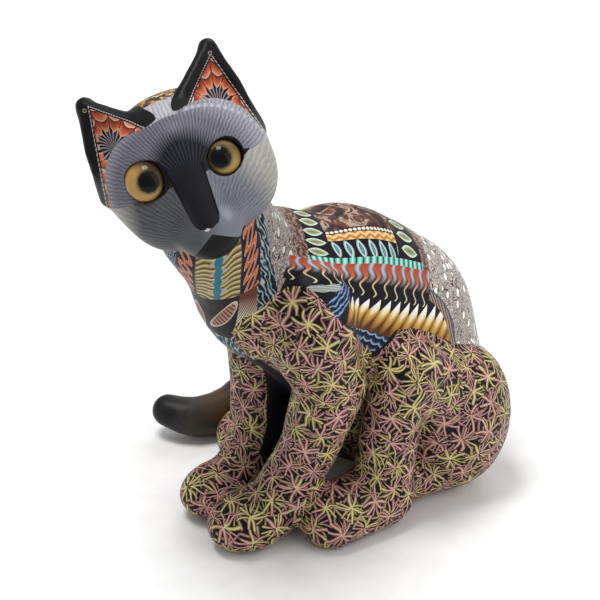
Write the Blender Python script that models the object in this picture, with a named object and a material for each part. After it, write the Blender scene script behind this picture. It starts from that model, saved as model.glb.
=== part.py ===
"""A sitting cat modelled in polymer clay, with two glass eyes.

The clay figure is one baked solid: body, head, ears, legs and tail. It is described as rounded
lumps whose surfaces blend into each other, as clay does when it is pressed together. A skin is
wrapped round the lumps, drawn onto their blended form, thinned to few faces, and cut flat where
the figure stands. Each eye is a glass dome in a socket of the same shape, a little larger.

The cat faces -Y, its left side is +X and +Z is up. Lengths are in millimetres until the meshes
are made, where MM turns them into metres.
"""

import math

import bmesh
import bpy
import numpy as np
from mathutils import Euler, Matrix, Vector

MM = 0.001

# The figure's height. Its pose and proportions are shares of it.
FIGURE_HEIGHT = 160.0

# The skin of the clay.
SKIN_CELL = 1.3
SETTLE_ROUNDS = 4
CLAY_FACES = 8700
HEAD_THINNING = 0.7
HEAD_DETAIL = 1.6

# The head is modelled facing -Y about its own centre, then turned to look over the left shoulder.
HEAD_YAW = 58.5
HEAD_PITCH = 18.0
HEAD_ROLL = 20.0

# The glass eyes, and the clay bead round each.
EYE_RADII = {1: 4.9, -1: 5.5}
EYE_DOME = 3.2
EYE_BACK = 1.6
EYE_CLEARANCE = 0.3
EYE_SIDES = 24
EYE_STEPS = 5
EYE_TURN_OUT = 20.0
EYE_TURN_UP = 4.0
EYELID = 1.1

# The ears have thick rolled edges round a shallow cup. The left ear stands a little higher.
EAR_LIFT = 1.0
EAR_ROLL = 1.9
EAR_WALL = 1.6


def pose_share():
    """This figure's height as a share of 160 mm, the height that the pose is written for."""
    return FIGURE_HEIGHT / 160


def smooth_min(a, b, blend):
    """The lower of two distances, rounded where they are within blend of each other."""
    if blend <= 0:
        return np.minimum(a, b)
    near = np.maximum(blend - np.abs(a - b), 0) / blend
    return np.minimum(a, b) - near * near * blend / 4


def ball_vertices(mesh, centre, radius, detail):
    """Adds an icosphere and returns its vertices."""
    place = Matrix.Translation(centre)
    made = bmesh.ops.create_icosphere(mesh, subdivisions=detail, radius=radius, matrix=place)
    return made["verts"]


class Limb:
    """A limb that tapers from one ball to the next."""

    def __init__(self, blend, *balls, frame=None):
        self.blend = blend
        self.balls = [(Vector(ball[:3]), ball[3]) for ball in balls]
        self.frame = frame or Matrix.Identity(4)

    def add_shell(self, mesh):
        """Adds the hull of each pair of neighbouring balls."""
        for (start, start_radius), (end, end_radius) in zip(self.balls, self.balls[1:]):
            hull = bmesh.new()
            ball_vertices(hull, start, start_radius, 3)
            ball_vertices(hull, end, end_radius, 3)
            add_hull(mesh, hull, self.frame)

    def resize(self, share):
        """Moves and swells the limb by a share of its written size."""
        self.blend *= share
        self.balls = [(centre * share, radius * share) for centre, radius in self.balls]

    def distance(self, points):
        """How far each point lies outside the limb."""
        points = to_frame(points, self.frame)
        found = np.full(len(points), np.inf)
        for (start, start_radius), (end, end_radius) in zip(self.balls, self.balls[1:]):
            along = np.array(end - start)
            share = (points - np.array(start)) @ along / (along @ along)
            share = np.clip(share, 0, 1)
            nearest = np.array(start) + share[:, None] * along
            radius = start_radius + share * (end_radius - start_radius)
            found = np.minimum(found, np.linalg.norm(points - nearest, axis=1) - radius)
        return found


class Egg:
    """A ball stretched along three axes."""

    def __init__(self, blend, centre, radii, frame=None):
        self.blend = blend
        self.centre = Vector(centre)
        self.radii = Vector(radii)
        self.frame = frame or Matrix.Identity(4)

    def resize(self, share):
        """Moves and swells the egg by a share of its written size."""
        self.blend *= share
        self.centre *= share
        self.radii *= share

    def add_shell(self, mesh):
        """Adds the stretched ball."""
        hull = bmesh.new()
        ball_vertices(hull, (0, 0, 0), 1.0, 4)
        place = Matrix.Translation(self.centre) @ Matrix.Diagonal((*self.radii, 1))
        add_hull(mesh, hull, self.frame @ place)

    def distance(self, points):
        """About how far each point lies outside the egg."""
        points = to_frame(points, self.frame) - np.array(self.centre)
        radii = np.array(self.radii)
        near = np.linalg.norm(points / radii, axis=1)
        steep = np.linalg.norm(points / radii**2, axis=1)
        return near * (near - 1) / np.maximum(steep, 1e-6)


class Web:
    """A thin wall of even thickness between three corners."""

    def __init__(self, blend, corners, wall, frame=None):
        self.blend = blend
        self.corners = [Vector(corner) for corner in corners]
        self.wall = wall
        self.frame = frame or Matrix.Identity(4)

    def add_shell(self, mesh):
        """Adds the hull of a small ball at each corner."""
        hull = bmesh.new()
        for corner in self.corners:
            ball_vertices(hull, corner, self.wall, 2)
        add_hull(mesh, hull, self.frame)

    def distance(self, points):
        """How far each point lies outside the wall."""
        points = to_frame(points, self.frame)
        corners = [np.array(corner) for corner in self.corners]
        normal = np.cross(corners[1] - corners[0], corners[2] - corners[0])
        normal = normal / np.linalg.norm(normal)
        flat = np.abs((points - corners[0]) @ normal)
        outside = np.zeros(len(points), bool)
        edges = np.full(len(points), np.inf)
        for start, end in zip(corners, corners[1:] + corners[:1]):
            along = end - start
            outside |= (points - start) @ np.cross(normal, along) < 0
            share = np.clip((points - start) @ along / (along @ along), 0, 1)
            nearest = start + share[:, None] * along
            edges = np.minimum(edges, np.linalg.norm(points - nearest, axis=1))
        return np.where(outside, edges, flat) - self.wall


class Ring:
    """A round bead bent into a ring, such as the rim of an eyelid."""

    def __init__(self, blend, radius, bead, frame):
        self.blend = blend
        self.radius = radius
        self.bead = bead
        self.frame = frame

    def add_shell(self, mesh):
        """The ring is shallow, so the skin finds it as it settles."""

    def distance(self, points):
        """How far each point lies outside the bead."""
        points = to_frame(points, self.frame)
        across = np.hypot(points[:, 0], points[:, 1]) - self.radius
        return np.hypot(across, points[:, 2]) - self.bead


def to_frame(points, frame):
    """Points seen from a frame that turns and moves without stretching."""
    inverse = np.array(frame.inverted())
    return points @ inverse[:3, :3].T + inverse[:3, 3]


def add_hull(mesh, hull, matrix):
    """Adds the convex hull of another mesh's vertices, moved by a matrix."""
    bmesh.ops.transform(hull, matrix=matrix, verts=hull.verts)
    made = bmesh.ops.convex_hull(hull, input=hull.verts, use_existing_faces=False)
    inner = [item for item in made["geom_interior"] if isinstance(item, bmesh.types.BMVert)]
    bmesh.ops.delete(hull, geom=list(set(inner)), context="VERTS")
    bmesh.ops.recalc_face_normals(hull, faces=hull.faces)
    kept = bpy.data.meshes.new("hull")
    hull.to_mesh(kept)
    hull.free()
    mesh.from_mesh(kept)
    bpy.data.meshes.remove(kept)


def head_frame():
    """Where the head sits and how it is turned."""
    yaw = Matrix.Rotation(math.radians(HEAD_YAW), 4, "Z")
    pitch = Matrix.Rotation(math.radians(-HEAD_PITCH), 4, "X")
    roll = Matrix.Rotation(math.radians(-HEAD_ROLL), 4, "Y")
    centre = Vector((2.5, -42.0, 127.7)) * pose_share()
    return Matrix.Translation(centre) @ yaw @ pitch @ roll


def eye_frame(side):
    """The place of an eye, with +Z out of the head. The cat's left is side +1, its right -1."""
    height = {1: 0.7, -1: 2.9}[side]
    place = Matrix.Translation(Vector((side * 11.1, -16.8, height)) * pose_share())
    out = Matrix.Rotation(math.radians(side * EYE_TURN_OUT), 4, "Z")
    up = Matrix.Rotation(math.radians(90 - EYE_TURN_UP), 4, "X")
    return head_frame() @ place @ out @ up


def posed(lumps):
    """Lumps of the written pose, at this figure's height."""
    for lump in lumps:
        lump.resize(pose_share())
    return lumps


def torso():
    """The pear-shaped body, from the rump to the neck."""
    return [
        Egg(0, (0, 40, 29), (25, 27, 29.5)),
        Egg(6, (0, 26, 27), (17, 19.5, 23)),
        Limb(6, (0, 24, 34, 18), (0, 7, 56, 17)),
        Egg(8, (0, 32, 50.4), (27, 29.2, 29)),
        Egg(12, (0, 12, 68.2), (25, 28.6, 26.7)),
        Egg(8, (0, -8, 74), (20, 21.5, 20.5)),
        Limb(12, (-1.8, -17, 84.6, 16.3), (1, -31, 106, 16.5)),
    ]


def foreleg(side):
    """A foreleg, from the shoulder to a round paw. The left one stands further forward."""
    if side > 0:
        return [
            Egg(4, (18, -9, 72), (12.5, 13, 19)),
            Limb(3, (19, -9, 69, 12), (18.8, -3, 50, 10.8), (16, -8.2, 30, 9), (13.5, -13.5, 18, 8.4)),
            Limb(3, (13.5, -13.5, 18, 8.4), (11.6, -20, 9.5, 8.8)),
            Egg(3, (10.4, -26.7, 7.4), (11.1, 14, 8.8)),
        ]
    return [
        Egg(4, (-16.5, -8, 72), (12.5, 13, 19)),
        Limb(3, (-16, -7, 69, 12), (-16, -2, 50, 10.8), (-14.5, -3.2, 36, 9.8), (-12.3, -6, 18, 9)),
        Limb(3, (-12.3, -6, 18, 9), (-10.2, -14, 9.5, 8.8)),
        Egg(3, (-8.6, -24.4, 7.4), (10, 13.1, 8.5)),
    ]


def hind_leg(side):
    """A folded hind leg: a round thigh, an upright shin and a paw. The right one is set back."""
    back = 3.2 * (1 - side)
    return [
        Egg(1.5, (side * 24, 42, 25), (16.5, 18.5, 24.8)),
        Limb(3, (side * 24, 24, 9, 7.5), (side * 24, 34, 9.5, 9)),
        Limb(2, (side * 23, 36, 37, 15), (side * 27, 20, 50, 10.5)),
        Limb(
            1.5,
            (side * 28, 19, 52, 10),
            (side * 26.5, back + 14.5, 34, 9),
            (side * 25.5, back + 12, 13, 9.2),
        ),
        Limb(2, (side * 26, back + 11, 9.3, 10.4), (side * 25.2, back - 7.5, 8.4, 9.9)),
    ]


def smooth_path(points, steps):
    """Balls along a smooth curve through the given ones."""
    points = [Vector(point) for point in np.array(points, float)]
    found = []
    for i in range(len(points) - 1):
        before, start, end, after = (
            points[min(max(k, 0), len(points) - 1)] for k in (i - 1, i, i + 1, i + 2)
        )
        for step in range(steps):
            t = step / steps
            bend = (end - before) * t + (before * 2 - start * 5 + end * 4 - after) * t**2
            bend += (start * 3 - before - end * 3 + after) * t**3
            found.append(tuple(start + bend / 2))
    return found + [tuple(points[-1])]


def tail():
    """The tail, which lies round the right side with its tip turned out."""
    through = [
        (-4, 60, 11, 10),
        (-26, 63, 8.5, 8.8),
        (-42, 55, 7.6, 8.2),
        (-49, 38, 7, 7.8),
        (-48.5, 20, 6.8, 7.4),
        (-44, 5, 6.8, 7.1),
        (-45.9, -6.6, 7.4, 6.5),
        (-52.2, -12.6, 9, 5.3),
    ]
    return [Limb(3, *smooth_path(through, 3))]


def head():
    """The skull, cheeks, nose, muzzle and chin."""
    frame = head_frame()
    return [
        Egg(6, (0.5, 2, 0.5), (24, 22, 20.5), frame=frame),
        Egg(5, (-7, -7, -8), (12, 12, 12), frame=frame),
        Egg(5, (9.5, -6, -7), (14, 13, 13), frame=frame),
        Limb(2, (0, -10.5, 8, 7.4), (0.2, -21.8, -13, 4.3), frame=frame),
        Egg(4, (0, -14.4, -18.5), (7.5, 8, 5.8), frame=frame),
        Egg(3.5, (-3.6, -16.8, -16.2), (4.6, 5.2, 3.8), frame=frame),
        Egg(3.5, (3.6, -16.8, -16.2), (4.6, 5.2, 3.8), frame=frame),
    ]


def ear(side):
    """A cupped ear: a wall set back between thick rolled edges, with a ridge behind it."""
    frame = head_frame()
    written = ((18.7, 4, 26.4), (3.8, -6.8, 15), (22.9, 0, 0.5), (21.9, 1.5, 14.5), (13, 7, 11))
    share = pose_share()
    tip, inner, outer, bend, root = (
        Vector((side * x * share, y * share, z * share + side * EAR_LIFT)) for x, y, z in written
    )
    back = Vector((0, 2.6, 0)) * share
    return [
        Web(2, (tip + back * 0.4, inner + back, outer + back), EAR_WALL, frame=frame),
        Web(2, (tip + back * 0.4, outer + back, bend + back * 0.7), EAR_WALL, frame=frame),
        Limb(3, (*root, 6 * share), (*(tip + back * 0.5), EAR_WALL), frame=frame),
        Limb(0.5, (*inner, EAR_ROLL + 0.5), (*tip, EAR_ROLL), frame=frame),
        Limb(0.5, (*tip, EAR_ROLL), (*bend, EAR_ROLL - 0.3), (*outer, EAR_ROLL - 0.5), frame=frame),
    ]


def clay_lumps():
    """Every lump of the clay figure."""
    lumps = posed(torso() + tail() + head())
    for side in (-1, 1):
        lumps += posed(hind_leg(side) + foreleg(side)) + ear(side)
        lumps.append(Ring(1.5, EYE_RADII[side], EYELID, eye_frame(side)))
    return lumps


def clay_distance(points, lumps):
    """How far each point lies outside the blended clay."""
    found = lumps[0].distance(points)
    for lump in lumps[1:]:
        found = smooth_min(found, lump.distance(points), lump.blend)
    return found


def evaluated_mesh(made):
    """The mesh of an object as its modifiers leave it."""
    graph = bpy.context.evaluated_depsgraph_get()
    return bpy.data.meshes.new_from_object(made.evaluated_get(graph))


def linked(name, mesh):
    """An object of a mesh, in the scene."""
    made = bpy.data.objects.new(name, mesh)
    bpy.context.scene.collection.objects.link(made)
    return made


def wrapped_skin(lumps, cell):
    """One closed skin of even cells round all the lumps."""
    shells = bmesh.new()
    for lump in lumps:
        lump.add_shell(shells)
    mesh = bpy.data.meshes.new("shells")
    shells.to_mesh(mesh)
    shells.free()
    wrapper = linked("wrapper", mesh)
    wrap = wrapper.modifiers.new("wrap", "REMESH")
    wrap.mode = "VOXEL"
    wrap.voxel_size = cell
    skin = evaluated_mesh(wrapper)
    bpy.data.objects.remove(wrapper)
    return skin


def clay_slope(points, lumps, step=0.05):
    """Which way the distance grows at each point."""
    found = np.zeros_like(points)
    for corner in ((1, 1, 1), (1, -1, -1), (-1, 1, -1), (-1, -1, 1)):
        corner = np.array(corner, float)
        found += clay_distance(points + corner * step, lumps)[:, None] * corner
    return found / np.maximum(np.linalg.norm(found, axis=1), 1e-9)[:, None]


def settle(skin, lumps):
    """Draws the skin onto the blended form, and evens out its cells between the rounds."""
    count = len(skin.vertices)
    for round_number in range(SETTLE_ROUNDS):
        points = np.empty(count * 3, np.float32)
        skin.vertices.foreach_get("co", points)
        points = points.reshape(-1, 3).astype(float)
        points -= clay_distance(points, lumps)[:, None] * clay_slope(points, lumps)
        skin.vertices.foreach_set("co", points.astype(np.float32).ravel())
        skin.update()
        if round_number < SETTLE_ROUNDS - 2:
            relax(skin)


def relax(skin):
    """Moves each vertex half way to the middle of its neighbours."""
    mesh = bmesh.new()
    mesh.from_mesh(skin)
    bmesh.ops.smooth_vert(
        mesh, verts=mesh.verts, factor=0.5, use_axis_x=True, use_axis_y=True, use_axis_z=True
    )
    mesh.to_mesh(skin)
    mesh.free()


def lathe(profile, frame, name):
    """A closed solid turned from a profile of (radius, height) about the frame's Z."""
    mesh = bmesh.new()
    rings = []
    for radius, height in profile:
        count = 1 if radius == 0 else EYE_SIDES
        turns = [2 * math.pi * k / count for k in range(count)]
        spots = [(radius * math.cos(turn), radius * math.sin(turn), height) for turn in turns]
        rings.append([mesh.verts.new(frame @ Vector(spot)) for spot in spots])
    for low, high in zip(rings, rings[1:]):
        for k in range(EYE_SIDES):
            corners = [low[k % len(low)], low[(k + 1) % len(low)]]
            corners += [high[(k + 1) % len(high)], high[k % len(high)]]
            mesh.faces.new(list(dict.fromkeys(corners)))
    bmesh.ops.recalc_face_normals(mesh, faces=mesh.faces)
    made = bpy.data.meshes.new(name)
    mesh.to_mesh(made)
    mesh.free()
    return made


def eye_profile(side, grow):
    """Half of an eye in section, from the middle of its back to the top of its dome."""
    radius = EYE_RADII[side] + grow
    profile = [(0, -EYE_BACK - grow), (radius * 0.8, -EYE_BACK - grow), (radius, 0)]
    for step in range(1, EYE_STEPS):
        turn = math.pi / 2 * step / EYE_STEPS
        profile.append((radius * math.cos(turn), (EYE_DOME + grow) * math.sin(turn)))
    return profile + [(0, EYE_DOME + grow)]


def thinned(skin, count):
    """The skin with fewer faces, and smaller ones on the head than on the body."""
    body = linked("skin", skin)
    group = body.vertex_groups.new(name="plain")
    frame = head_frame().inverted()
    reach = 33 * pose_share()
    for vertex in skin.vertices:
        on_head = (frame @ vertex.co).length < reach
        group.add([vertex.index], HEAD_THINNING if on_head else 1.0, "REPLACE")
    thin = body.modifiers.new("thin", "DECIMATE")
    thin.ratio = count / (2 * len(skin.polygons))
    thin.vertex_group = "plain"
    thin.vertex_group_factor = HEAD_DETAIL
    fewer = evaluated_mesh(body)
    bpy.data.objects.remove(body)
    return fewer


def cut(body, tool, name):
    """Takes a closed tool away from the body with an exact Boolean."""
    cutter = linked(name, tool)
    cutter.hide_render = True
    cutter.display_type = "WIRE"
    taken = body.modifiers.new(name, "BOOLEAN")
    taken.operation = "DIFFERENCE"
    taken.solver = "EXACT"
    taken.object = cutter


def ground_block(skin):
    """A block as wide as the skin and more, from below it up to the ground."""
    points = np.array([vertex.co for vertex in skin.vertices])
    margin = 10 * SKIN_CELL
    low = Vector(points.min(axis=0) - margin)
    high = Vector(points.max(axis=0) + margin)
    high.z = 0
    size = high - low
    mesh = bmesh.new()
    matrix = Matrix.Translation((low + high) / 2) @ Matrix.Diagonal((*size, 1))
    bmesh.ops.create_cube(mesh, size=1, matrix=matrix)
    made = bpy.data.meshes.new("ground")
    mesh.to_mesh(made)
    mesh.free()
    return made


def finish(name, hex_colour, roughness):
    """A plain material, with its colour written as in a paint program."""
    red, green, blue = (int(hex_colour[i : i + 2], 16) / 255 for i in (0, 2, 4))
    made = bpy.data.materials.new(name)
    made.use_nodes = True
    shader = made.node_tree.nodes["Principled BSDF"]
    shader.inputs["Base Color"].default_value = (red**2.2, green**2.2, blue**2.2, 1)
    shader.inputs["Roughness"].default_value = roughness
    made.diffuse_color = (red, green, blue, 1)
    return made


def build():
    """Makes the clay figure and its two eyes, over the middle of their footprint."""
    lumps = clay_lumps()
    skin = wrapped_skin(lumps, SKIN_CELL)
    settle(skin, lumps)
    skin = thinned(skin, CLAY_FACES)
    skin.materials.append(finish("polymer clay", "6B5A52", 0.5))
    body = linked("cat_body", skin)
    cut(body, ground_block(skin), "ground")
    glass = finish("glass eye", "B07A2C", 0.05)
    shown = [body]
    for side, name in ((1, "left"), (-1, "right")):
        place = eye_frame(side)
        cut(body, lathe(eye_profile(side, EYE_CLEARANCE), place, name + "_socket"), name + "_socket")
        eye = linked(name + "_eye", lathe(eye_profile(side, 0), place, name + "_eye"))
        eye.data.materials.append(glass)
        shown.append(eye)
    points = np.array([vertex.co for made in shown for vertex in made.data.vertices])
    middle = (points.min(axis=0) + points.max(axis=0)) / 2
    to_middle = Matrix.Translation((-middle[0], -middle[1], 0))
    for made in bpy.data.objects:
        made.data.transform(Matrix.Scale(MM, 4) @ to_middle)


def main():
    for old in list(bpy.data.objects):
        bpy.data.objects.remove(old)
    build()


if __name__ == "__main__":
    main()
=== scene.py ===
"""A sitting cat of polymer clay, laid with thin slices of patterned clay, on white paper."""

import functools
import math

import bmesh
import bpy
import numpy as np
from mathutils import Matrix, Vector
from mathutils.geometry import closest_point_on_tri


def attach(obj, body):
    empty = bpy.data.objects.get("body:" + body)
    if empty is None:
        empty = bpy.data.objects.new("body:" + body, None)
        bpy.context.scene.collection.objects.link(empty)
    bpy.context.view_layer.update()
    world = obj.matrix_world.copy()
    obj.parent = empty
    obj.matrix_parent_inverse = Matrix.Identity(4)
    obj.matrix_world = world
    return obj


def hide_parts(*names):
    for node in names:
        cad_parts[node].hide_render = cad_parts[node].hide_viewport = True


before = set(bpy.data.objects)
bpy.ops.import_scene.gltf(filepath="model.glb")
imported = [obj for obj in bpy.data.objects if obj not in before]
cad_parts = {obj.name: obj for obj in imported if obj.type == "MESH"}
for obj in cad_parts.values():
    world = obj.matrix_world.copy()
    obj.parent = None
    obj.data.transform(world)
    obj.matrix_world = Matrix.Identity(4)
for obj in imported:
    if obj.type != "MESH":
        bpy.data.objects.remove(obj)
for old in ("Cube", "Light", "Camera"):
    if old in bpy.data.objects:
        bpy.data.objects.remove(bpy.data.objects[old])
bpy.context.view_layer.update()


# The studio: a plain pale sweep of paper, with soft lights and the camera.
# Matt white paper, lit evenly from a large box above and in front, and a weaker one behind.

CAMERA_AZIMUTH = 52.0
CAMERA_HEIGHT_ANGLE = 30.0
CAMERA_DISTANCE = 0.7
CAMERA_LENS = 140.0
LOOK_AT = Vector((0.004072, 0.000182, 0.066))
LIGHTS_AIM = Vector((0, 0, 0.07))
FLOOR_HALF_WIDTH = 3.0
WORLD_BRIGHTNESS = 0.44


def linear_colour(hex_colour):
    """An sRGB hex colour as the linear values that a shader takes."""
    shares = [int(hex_colour[i : i + 2], 16) / 255 for i in (0, 2, 4)]
    return (*[s / 12.92 if s <= 0.04045 else ((s + 0.055) / 1.055) ** 2.4 for s in shares], 1.0)


def put(tree, kind, *values, stops=(), out=None, **settings):
    """Adds a node of the named kind, such as "Math ADD", and returns what it gives.

    Values fill its inputs in order, and settings with a capital fill the inputs they name.
    """
    kind, _, action = kind.partition(" ")
    made = tree.nodes.new("ShaderNode" + kind)
    if action:
        setattr(made, "data_type" if kind == "Mix" else "operation", action)
    for name, value in settings.items():
        if name[0].islower():
            setattr(made, name, value)
    if stops:
        ramp = made.color_ramp
        ramp.elements.remove(ramp.elements[1])
        ramp.elements[0].position = stops[0][0]
        ramp.elements[0].color = linear_colour(stops[0][1])
    for place, colour in stops[1:]:
        ramp.elements.new(place).color = linear_colour(colour)
    sockets = [socket for socket in made.inputs if socket.enabled]
    given = list(zip(sockets, values))
    given += [(made.inputs[name], value) for name, value in settings.items() if name[0].isupper()]
    for socket, value in given:
        if isinstance(value, bpy.types.NodeSocket):
            tree.links.new(value, socket)
        elif isinstance(value, str):
            socket.default_value = linear_colour(value)
        else:
            socket.default_value = value
    if out:
        return made.outputs[out]
    return next(socket for socket in made.outputs if socket.enabled)


def finish_named(name, roughness, **sockets):
    """A new material, and its main shader with plain values on its own sockets."""
    made = bpy.data.materials.new(name)
    made.use_nodes = True
    shader = made.node_tree.nodes["Principled BSDF"]
    shader.inputs["Roughness"].default_value = roughness
    for socket, value in sockets.items():
        shader.inputs[socket.replace("_", " ")].default_value = value
    return made, made.node_tree, shader


def paper_floor():
    """A wide flat sheet under the figure."""
    sheet = bmesh.new()
    bmesh.ops.create_grid(sheet, x_segments=1, y_segments=1, size=FLOOR_HALF_WIDTH)
    mesh = bpy.data.meshes.new("paper_floor")
    sheet.to_mesh(mesh)
    sheet.free()
    floor = bpy.data.objects.new("paper_floor", mesh)
    bpy.context.scene.collection.objects.link(floor)
    return floor


def soft_box(name, place, size, power):
    """A square soft light that faces the figure."""
    lamp = bpy.data.lights.new(name, "AREA")
    lamp.size = size
    lamp.energy = power
    box = bpy.data.objects.new(name, lamp)
    bpy.context.scene.collection.objects.link(box)
    box.location = place
    box.rotation_mode = "QUATERNION"
    box.rotation_quaternion = (Vector(place) - LIGHTS_AIM).to_track_quat("Z", "Y")


floor = paper_floor()
paper, paper_tree, paper_shader = finish_named("matt white paper", 0.9)
grain = put(paper_tree, "TexNoise", Scale=900.0, Detail=2.0)
white = put(paper_tree, "ValToRGB", grain, stops=((0.3, "F4F4F4"), (0.7, "FAFAFA")))
paper_tree.links.new(white, paper_shader.inputs["Base Color"])
floor.data.materials.append(paper)

world = bpy.data.worlds.new("studio white")
world.use_nodes = True
background = world.node_tree.nodes["Background"]
background.inputs["Color"].default_value = linear_colour("FFFFFF")
background.inputs["Strength"].default_value = WORLD_BRIGHTNESS
bpy.context.scene.world = world
bpy.context.scene.view_settings.view_transform = "Standard"
soft_box("key_box", (-0.12, -0.22, 1.2), 0.42, 9.0)
soft_box("fill_box", (1.2, 0.6, 0.75), 1.6, 9.0)
soft_box("back_box", (-0.6, 0.9, 0.9), 0.9, 4.5)

azimuth = math.radians(CAMERA_AZIMUTH)
above = math.radians(CAMERA_HEIGHT_ANGLE)
towards_camera = Vector(
    (math.sin(azimuth) * math.cos(above), -math.cos(azimuth) * math.cos(above), math.sin(above))
)
camera = bpy.data.objects.new("photo_camera", bpy.data.cameras.new("photo_camera"))
bpy.context.scene.collection.objects.link(camera)
camera.location = LOOK_AT + towards_camera * CAMERA_DISTANCE
camera.rotation_mode = "QUATERNION"
camera.rotation_quaternion = towards_camera.to_track_quat("Z", "Y")
camera.data.lens = CAMERA_LENS
camera.data.clip_start = 0.01
bpy.context.scene.camera = camera


# The clay figure: one baked solid, modelled by hand and rubbed smooth.
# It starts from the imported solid. Its flat faces are wrapped in an even skin and rubbed down.

SKIN_CELL = 0.00088
RUBBING_ROUNDS = 14
RUB_IN = 0.5
RUB_OUT = -0.53
MERGE_WITHIN = 1e-6


def rubbed(mesh, rounds):
    """Rubs small facets away, with each push in followed by a push out so that nothing shrinks."""
    skin = bmesh.new()
    skin.from_mesh(mesh)
    for _ in range(rounds):
        for push in (RUB_IN, RUB_OUT):
            bmesh.ops.smooth_vert(
                skin, verts=skin.verts, factor=push,
                use_axis_x=True, use_axis_y=True, use_axis_z=True,
            )
    skin.to_mesh(mesh)
    skin.free()


merged = bmesh.new()
merged.from_mesh(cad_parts["cat_body"].data)
bmesh.ops.remove_doubles(merged, verts=merged.verts, dist=MERGE_WITHIN)
rough = bpy.data.meshes.new("rough_clay")
merged.to_mesh(rough)
merged.free()
wrapper = bpy.data.objects.new("clay_wrapper", rough)
bpy.context.scene.collection.objects.link(wrapper)
wrap = wrapper.modifiers.new("skin", "REMESH")
wrap.mode = "VOXEL"
wrap.voxel_size = SKIN_CELL
wrapped = wrapper.evaluated_get(bpy.context.evaluated_depsgraph_get())
skin = bpy.data.meshes.new_from_object(wrapped)
bpy.data.objects.remove(wrapper)
rubbed(skin, RUBBING_ROUNDS)
skin.name = "clay_cat"
skin.polygons.foreach_set("use_smooth", np.ones(len(skin.polygons), bool))
cat = bpy.data.objects.new("clay_cat", skin)
bpy.context.scene.collection.objects.link(cat)


# The lie of the clay slices: which limb each spot belongs to, and how the weave wraps it.
# Places are in millimetres from the figure's own middle plane, with a radius for each limb point.

MIDDLE = np.array((8.472, -3.918, 0.0))
HEAD_CENTRE = Vector((2.5, -42.0, 127.7))
HEAD_TURN = Matrix.Rotation(math.radians(58.5), 3, "Z")
HEAD_TURN = HEAD_TURN @ Matrix.Rotation(math.radians(-18), 3, "X")
HEAD_TURN = HEAD_TURN @ Matrix.Rotation(math.radians(-20), 3, "Y")
NECK_MIDDLE = (1, -29, 104)


def limb_paths():
    """The middle line of each limb as (x, y, z, radius), with the side its seam is hidden on."""
    paths = {
        "torso": (
            [(0, 40, 29, 26), (0, 32, 50.4, 27), (0, 12, 68.5, 26), (0, -8, 74, 20.5),
             (-1.8, -17, 84.6, 16), (*NECK_MIDDLE, 16)],
            (0, -0.6, -1),
        ),
        "tail": (
            [(-4, 60, 11, 10), (-26, 63, 8.5, 8.8), (-42, 55, 7.6, 8.2), (-49, 38, 7, 7.8),
             (-48.5, 20, 6.8, 7.4), (-44, 5, 6.8, 7.1), (-45.9, -6.6, 7.4, 6.5),
             (-52.2, -12.6, 9, 5.3)],
            (1, 0, -1),
        ),
        "left_foreleg": (
            [(8, -2, 84, 12), (18.5, -8, 70, 12.3), (18.8, -3, 50, 10.8), (16, -8.2, 30, 9),
             (13.5, -13.5, 18, 8.4), (11.6, -20, 9.5, 8.8), (10.2, -29, 7.4, 9), (10.2, -34, 0, 6)],
            (-0.7, 0.7, 0),
        ),
        "right_foreleg": (
            [(-8, -2, 84, 12), (-16, -8, 70, 12.3), (-16, -2, 50, 10.8), (-14.5, -3.2, 36, 9.8),
             (-12.3, -6, 18, 9), (-10.2, -14, 9.5, 8.8), (-8.6, -27, 7.4, 9), (-8.6, -32, 0, 6)],
            (0.2, 1, 0),
        ),
        "head": ([(*HEAD_CENTRE, 21), (*(HEAD_CENTRE + Vector((0, 0, 0.1))), 21)], (0, 1, 0)),
    }
    for side, name, back in ((1, "left", 0), (-1, "right", 6.4)):
        paths[name + "_shin"] = (
            [(side * 22, 30, 38, 10), (side * 27.5, 20, 50, 10.3),
             (side * 26.5, back + 14.5, 34, 9), (side * 25.5, back + 12, 13, 9.2),
             (side * 25.2, back + 2, 8.8, 9.7), (side * 25, back - 8.5, 8.4, 9.8),
             (side * 25, back - 13, 0, 6)],
            (-side, 0.2, 0),
        )
        paths[name + "_haunch"] = (
            [(side * 24, 42, 30, 17.5), (side * 24, 42, 20, 17.5)],
            (-side, 0, -0.2),
        )
    return paths


def beside_path(points, path, hidden):
    """Each point's distance outside a limb, its angle round it, and how far along it lies."""
    path = np.array(path, float)
    hidden = np.array(hidden, float)
    distance = np.full(len(points), np.inf)
    angle = np.zeros(len(points))
    run = np.zeros(len(points))
    passed = 0.0
    for start, end in zip(path, path[1:]):
        along = end[:3] - start[:3]
        share = np.clip((points - start[:3]) @ along / (along @ along), 0, 1)
        offset = points - start[:3] - share[:, None] * along
        found = np.linalg.norm(offset, axis=1) - start[3] - share * (end[3] - start[3])
        tangent = along / np.linalg.norm(along)
        behind = hidden - (hidden @ tangent) * tangent
        across = np.cross(tangent, behind)
        nearer = found < distance
        distance = np.where(nearer, found, distance)
        angle = np.where(nearer, np.arctan2(offset @ across, -(offset @ behind)), angle)
        run = np.where(nearer, passed + share * np.linalg.norm(along), run)
        passed += np.linalg.norm(along)
    return distance, angle, run


def positions(mesh):
    """The vertices in millimetres from the figure's own middle plane."""
    found = np.empty(len(mesh.vertices) * 3, np.float32)
    mesh.vertices.foreach_get("co", found)
    return found.reshape(-1, 3).astype(float) * 1000 - MIDDLE


def normals_of(mesh):
    """The way that the skin faces at each vertex."""
    found = np.empty(len(mesh.vertices) * 3, np.float32)
    mesh.vertices.foreach_get("normal", found)
    return found.reshape(-1, 3)


def corners_of(mesh):
    """The four vertices of each face of the skin."""
    found = np.empty(len(mesh.polygons) * 4, np.int32)
    mesh.polygons.foreach_get("vertices", found)
    return found.reshape(-1, 4)


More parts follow.
